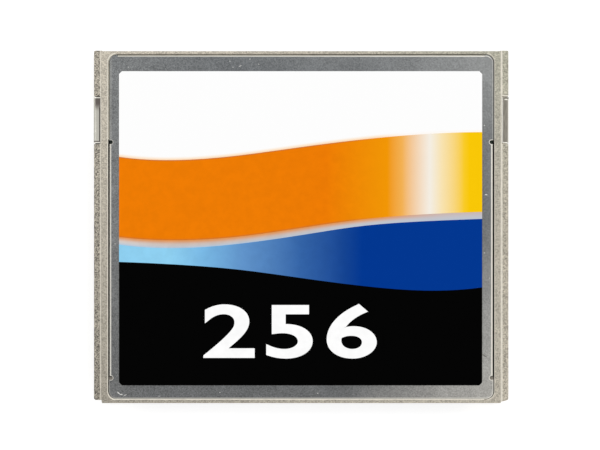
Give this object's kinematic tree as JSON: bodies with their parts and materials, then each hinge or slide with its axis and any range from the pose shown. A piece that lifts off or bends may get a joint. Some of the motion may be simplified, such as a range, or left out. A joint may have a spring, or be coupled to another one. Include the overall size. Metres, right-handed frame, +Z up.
{
  "type": "compact flash card",
  "caption": "Flat memory card with a moulded frame, steel covers, a printed label and a row of sockets at one end.",
  "frame": {"origin": "under the middle of the card, on the plane that its lower face lies on", "axes": "+X across the card to the right when it is seen from above, +Y from the connector end to the finger end, +Z up out of the labelled face"},
  "size_m": [0.0428, 0.0364, 0.0033],
  "materials": {
    "frame_plastic": "fine moulded grain",
    "cover_steel": "satin",
    "label_film": "smooth printed film",
    "ink_orange": "smooth print",
    "ink_silver": "smooth print",
    "ink_blue": "smooth print",
    "ink_black": "smooth print",
    "connector_plastic": "moulded",
    "contact_gold": "plated",
    "board_laminate": "lacquered",
    "chip_resin": "moulded",
    "tinned_metal": "plated",
    "ceramic_tan": "fired",
    "ceramic_dark": "fired",
    "insulating_film": "clear amber"
  },
  "bodies": {
    "root": {"frame": "frame_plastic", "upper_cover": "cover_steel", "lower_cover": "cover_steel", "label": "label_film", "print_orange_band": "ink_orange", "print_silver_line": "ink_silver", "print_blue_band": "ink_blue", "print_black_field": "ink_black", "connector_housing": "connector_plastic", "upper_contacts": "contact_gold", "lower_contacts": "contact_gold", "circuit_board": "board_laminate", "upper_flash_chip": "chip_resin", "upper_flash_leads": "tinned_metal", "lower_flash_chip": "chip_resin", "lower_flash_leads": "tinned_metal", "controller_chip": "chip_resin", "controller_leads": "tinned_metal", "voltage_regulator": "chip_resin", "regulator_leads": "tinned_metal", "crystal_base": "ceramic_tan", "crystal_can": "tinned_metal", "capacitors": "ceramic_tan", "capacitor_caps": "tinned_metal", "resistors": "ceramic_dark", "resistor_caps": "tinned_metal", "upper_film": "insulating_film", "lower_film": "insulating_film"}
  },
  "joints": []
}
